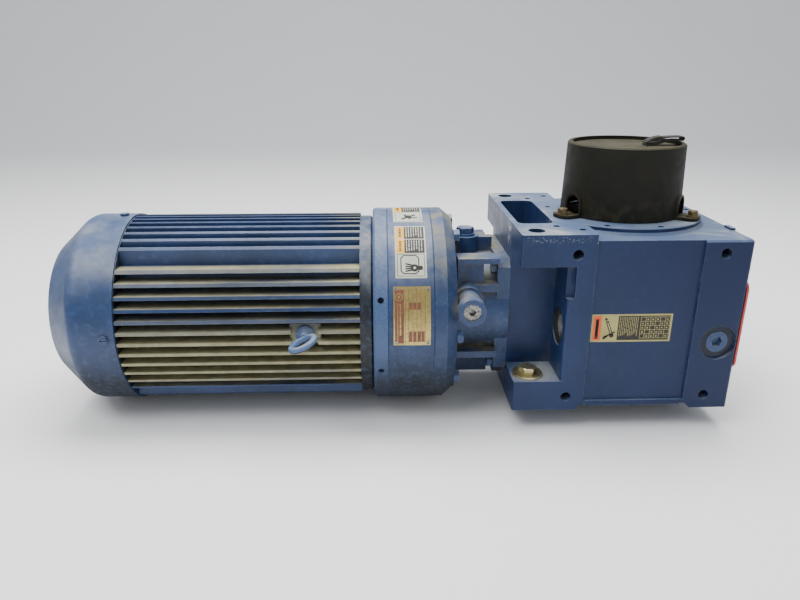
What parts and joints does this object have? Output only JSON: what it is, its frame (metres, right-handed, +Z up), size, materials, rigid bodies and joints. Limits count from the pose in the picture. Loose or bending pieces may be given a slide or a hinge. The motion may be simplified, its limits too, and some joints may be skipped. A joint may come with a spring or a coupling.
{
  "type": "right-angle gearmotor",
  "caption": "Finned fan-cooled motor with a round cycloidal stage, a ribbed neck and a square bevel gear housing with hollow output shaft under a round cover.",
  "frame": {"origin": "centre of the hollow output shaft's lower end, in the plane of the housing's lower machined face", "axes": "+Z up along the output shaft; -X along the motor towards its fan; -Y towards the side with the filler tube and nameplate"},
  "size_m": [0.995, 0.362, 0.41],
  "materials": {
    "blue_paint": "satin enamel over castings",
    "cover_plastic": "moulded, dull",
    "strap_webbing": "woven strap",
    "machined_steel": "turned",
    "gear_steel": "case hardened, ground",
    "bearing_steel": "ground and polished",
    "zinc_yellow": "yellow zinc plate",
    "bright_zinc": "bright zinc plate",
    "copper_winding": "varnished winding",
    "lamination_steel": "stacked laminations",
    "cast_aluminium": "as cast",
    "nameplate_metal": "etched plate",
    "nitrile_rubber": "moulded",
    "sight_glass": "clear",
    "red_plastic": "moulded",
    "block_plastic": "thermoset"
  },
  "bodies": {
    "frame": {"bearing_outer_rings": "bearing_steel", "bottom_cover": "blue_paint", "cable_gland": "cover_plastic", "cover_bolts": "zinc_yellow", "cover_lid": "cover_plastic", "cover_strap": "strap_webbing", "drive_end_shield": "blue_paint", "ear_bolts": "zinc_yellow", "edge_guard": "red_plastic", "end_shield_bolts": "machined_steel", "eye_bolt": "blue_paint", "fan_cover": "blue_paint", "fan_end_shield": "blue_paint", "filler_plug": "bright_zinc", "filler_tube": "blue_paint", "gear_housing": "blue_paint", "housing_bolts": "blue_paint", "housing_ears": "blue_paint", "input_neck": "blue_paint", "motor_adapter": "blue_paint", "motor_cover_screws": "blue_paint", "motor_frame": "blue_paint", "nameplate": "nameplate_metal", "oil_plugs": "blue_paint", "ring_gear_case": "blue_paint", "ring_pins": "gear_steel", "seal_carrier": "machined_steel", "shaft_cover": "cover_plastic", "shaft_seals": "nitrile_rubber", "sight_glass": "sight_glass", "sight_ring": "bright_zinc", "stator_core": "lamination_steel", "stator_winding": "copper_winding", "terminal_block": "block_plastic", "terminal_box": "blue_paint", "terminal_box_lid": "blue_paint"},
    "rotor": {"motor_shaft": "machined_steel", "rotor_core": "lamination_steel", "rotor_end_rings": "cast_aluminium", "cooling_fan": "block_plastic", "eccentric_cam": "gear_steel", "motor_bearing_inner_rings": "bearing_steel"},
    "motor_ball_sets": {"motor_bearing_balls": "bearing_steel"},
    "disc_1": {"cycloid_disc_1": "gear_steel"},
    "disc_2": {"cycloid_disc_2": "gear_steel"},
    "roller_set_1": {"cam_rollers_1": "bearing_steel"},
    "roller_set_2": {"cam_rollers_2": "bearing_steel"},
    "slow_shaft_group": {"slow_shaft": "machined_steel", "carrier_pins": "gear_steel", "bevel_pinion": "gear_steel", "pinion_nut": "machined_steel", "neck_bearing_inner_rings": "bearing_steel", "bearing_spacer": "machined_steel"},
    "neck_ball_sets": {"neck_bearing_balls": "bearing_steel"},
    "output": {"output_shaft": "machined_steel", "bevel_gear": "gear_steel", "gear_key": "machined_steel", "output_bearing_inner_rings": "bearing_steel", "taper_bushing": "machined_steel"},
    "output_ball_sets": {"output_bearing_balls": "bearing_steel"}
  },
  "joints": [
    {"name": "motor_spin", "type": "hinge", "parent": "frame", "child": "rotor", "pos_m": [-0.58, 0, 0.118], "axis": [1, 0, 0], "continuous": true},
    {"name": "motor_ball_sets_roll", "type": "hinge", "parent": "frame", "child": "motor_ball_sets", "pos_m": [-0.7495, 0, 0.118], "axis": [1, 0, 0], "continuous": true},
    {"name": "disc_1_turn", "type": "hinge", "parent": "rotor", "child": "disc_1", "pos_m": [-0.34, 0.005, 0.118], "axis": [1, 0, 0], "continuous": true},
    {"name": "disc_2_turn", "type": "hinge", "parent": "rotor", "child": "disc_2", "pos_m": [-0.315, -0.005, 0.118], "axis": [1, 0, 0], "continuous": true},
    {"name": "roller_set_1_roll", "type": "hinge", "parent": "rotor", "child": "roller_set_1", "pos_m": [-0.34, 0.005, 0.118], "axis": [1, 0, 0], "continuous": true},
    {"name": "roller_set_2_roll", "type": "hinge", "parent": "rotor", "child": "roller_set_2", "pos_m": [-0.315, -0.005, 0.118], "axis": [1, 0, 0], "continuous": true},
    {"name": "slow_shaft_turn", "type": "hinge", "parent": "frame", "child": "slow_shaft_group", "pos_m": [-0.2, 0, 0.118], "axis": [1, 0, 0], "continuous": true},
    {"name": "neck_ball_sets_roll", "type": "hinge", "parent": "frame", "child": "neck_ball_sets", "pos_m": [-0.2505, 0, 0.118], "axis": [1, 0, 0], "continuous": true},
    {"name": "output_turn", "type": "hinge", "parent": "frame", "child": "output", "pos_m": [0, 0, 0.07], "axis": [0, 0, 1], "continuous": true},
    {"name": "output_ball_sets_roll", "type": "hinge", "parent": "frame", "child": "output_ball_sets", "pos_m": [0, 0, 0.038], "axis": [0, 0, 1], "continuous": true}
  ],
  "couplings": [
    {"joint": "motor_ball_sets_roll", "follows": "motor_spin", "ratio": 0.38276},
    {"joint": "disc_1_turn", "follows": "motor_spin", "ratio": -1.0909},
    {"joint": "disc_2_turn", "follows": "motor_spin", "ratio": -1.0909},
    {"joint": "roller_set_1_roll", "follows": "motor_spin", "ratio": -0.62338},
    {"joint": "roller_set_2_roll", "follows": "motor_spin", "ratio": -0.62338},
    {"joint": "slow_shaft_turn", "follows": "motor_spin", "ratio": -0.090909},
    {"joint": "neck_ball_sets_roll", "follows": "motor_spin", "ratio": -0.037248},
    {"joint": "output_turn", "follows": "motor_spin", "ratio": 0.036364},
    {"joint": "output_ball_sets_roll", "follows": "motor_spin", "ratio": 0.015844}
  ]
}
